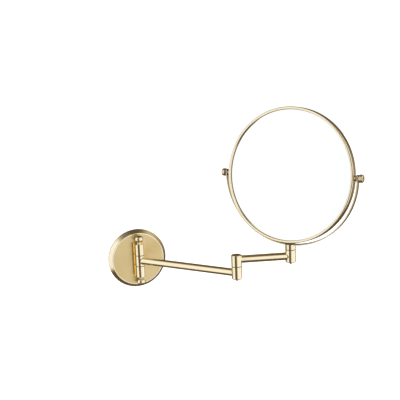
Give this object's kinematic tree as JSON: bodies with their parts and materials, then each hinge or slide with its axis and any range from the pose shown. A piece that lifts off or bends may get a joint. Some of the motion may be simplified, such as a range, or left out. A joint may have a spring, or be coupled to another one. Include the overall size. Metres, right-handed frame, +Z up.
{
  "type": "extendable shaving mirror",
  "caption": "Round double-sided shaving mirror tilting in a half-ring yoke, carried by a double-jointed swing arm from a round wall plate with a pinned barrel hinge.",
  "frame": {"origin": "centre of the wall plate's back face, on the wall", "axes": "+Z up, wall is the plane y=0, -Y points from the wall into the room, +X to the right when facing the wall"},
  "size_m": [0.3308, 0.2799, 0.305],
  "materials": {
    "brushed_gold": "satin",
    "hoop_gold": "satin polished",
    "polished_gold": "polished",
    "dusky_gold": "satin",
    "raw_brass": "satin",
    "deep_gold": "polished",
    "olive_gold": "satin",
    "black_nylon": "matte",
    "steel": "plain zinc plated",
    "mirror_glass": "silvered glass",
    "foam": "matte foam"
  },
  "bodies": {
    "wall_mount": {"wall_bracket": "steel", "rosette_cover": "brushed_gold", "grub_screw": "steel", "hinge_bar": "deep_gold", "hinge_bar_screws": "steel", "upper_knuckle": "polished_gold", "lower_knuckle": "polished_gold", "upper_knuckle_washer": "black_nylon", "lower_knuckle_washer": "black_nylon", "hinge_rod": "steel", "upper_finial": "polished_gold", "lower_finial": "polished_gold"},
    "arm_1": {"hinge_sleeve": "polished_gold", "arm_1_tube": "polished_gold", "elbow_lower_barrel": "polished_gold", "elbow_washer": "black_nylon"},
    "arm_2": {"elbow_pin": "steel", "elbow_spring_washer": "steel", "elbow_nut": "steel", "elbow_upper_barrel": "polished_gold", "arm_2_tube": "polished_gold", "outer_barrel": "polished_gold", "outer_washer": "black_nylon"},
    "yoke": {"outer_pin": "steel", "outer_spring_washer": "steel", "outer_nut": "steel", "yoke_socket": "polished_gold", "yoke_strap": "olive_gold"},
    "mirror": {"left_boss": "raw_brass", "right_boss": "raw_brass", "left_inner_washer": "black_nylon", "right_inner_washer": "black_nylon", "left_washer": "black_nylon", "right_washer": "black_nylon", "left_pivot_screw": "dusky_gold", "right_pivot_screw": "dusky_gold", "mirror_hoop": "hoop_gold", "front_glass": "mirror_glass", "magnifying_glass": "mirror_glass", "glass_spacer": "foam"}
  },
  "joints": [
    {"name": "wall_swing", "type": "hinge", "parent": "wall_mount", "child": "arm_1", "pos_m": [0, -0.0205, 0], "axis": [0, 0, 1], "range_deg": [-129.7, 50.3]},
    {"name": "elbow_swing", "type": "hinge", "parent": "arm_1", "child": "arm_2", "pos_m": [0.11913, -0.16399, 0.0108], "axis": [0, 0, 1], "continuous": true},
    {"name": "yoke_swivel", "type": "hinge", "parent": "arm_2", "child": "yoke", "pos_m": [0.20268, -0.18436, 0.0328], "axis": [0, 0, 1], "continuous": true},
    {"name": "mirror_tilt", "type": "hinge", "parent": "yoke", "child": "mirror", "pos_m": [0.20268, -0.18436, 0.1499], "axis": [0.6225, -0.7826, 0], "continuous": true}
  ]
}
